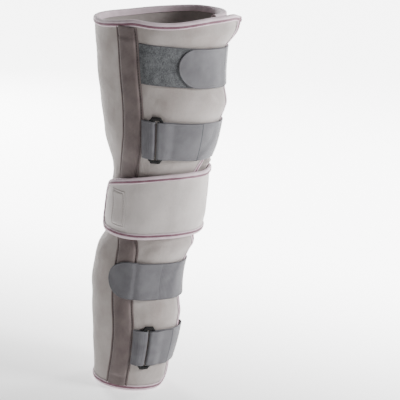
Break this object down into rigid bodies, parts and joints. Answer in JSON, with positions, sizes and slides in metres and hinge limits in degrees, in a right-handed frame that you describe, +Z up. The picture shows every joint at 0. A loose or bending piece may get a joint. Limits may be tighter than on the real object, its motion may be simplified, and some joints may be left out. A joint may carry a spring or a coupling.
{
  "type": "knee immobilizer",
  "caption": "Long three-panel padded knee immobilizer wrap with stay pockets, a bound kneecap cut-out, a wide knee band and rounded and buckled closing straps.",
  "frame": {"origin": "on the surface it stands on, below the middle of the whole brace's box", "axes": "+Z up the leg, -Y to the front of the leg, -X to the outer side of the right leg that it is made for"},
  "size_m": [0.1802, 0.182, 0.508],
  "materials": {
    "wrap": "brushed warm gray laminate over foam",
    "binding": "pink-gray edge tape with a plum stripe",
    "pocket": "dark brown-gray knit",
    "strap": "smooth gray webbing",
    "pile": "fuzzy gray loop pile",
    "buckle": "black moulded plastic"
  },
  "bodies": {
    "root": {"body_wrap": "wrap", "top_binding": "binding", "bottom_binding": "binding", "front_edge_binding": "binding", "hidden_edge_binding": "binding", "lateral_stay_pocket": "pocket", "medial_stay_pocket": "pocket", "strap_1_loop": "pile", "strap_1": "strap", "strap_2_anchor": "strap", "strap_2_buckle": "buckle", "strap_2": "strap", "knee_wrap": "wrap", "knee_wrap_binding": "binding", "strap_3": "strap", "strap_4_anchor": "strap", "strap_4_buckle": "buckle", "strap_4": "strap"}
  },
  "joints": []
}
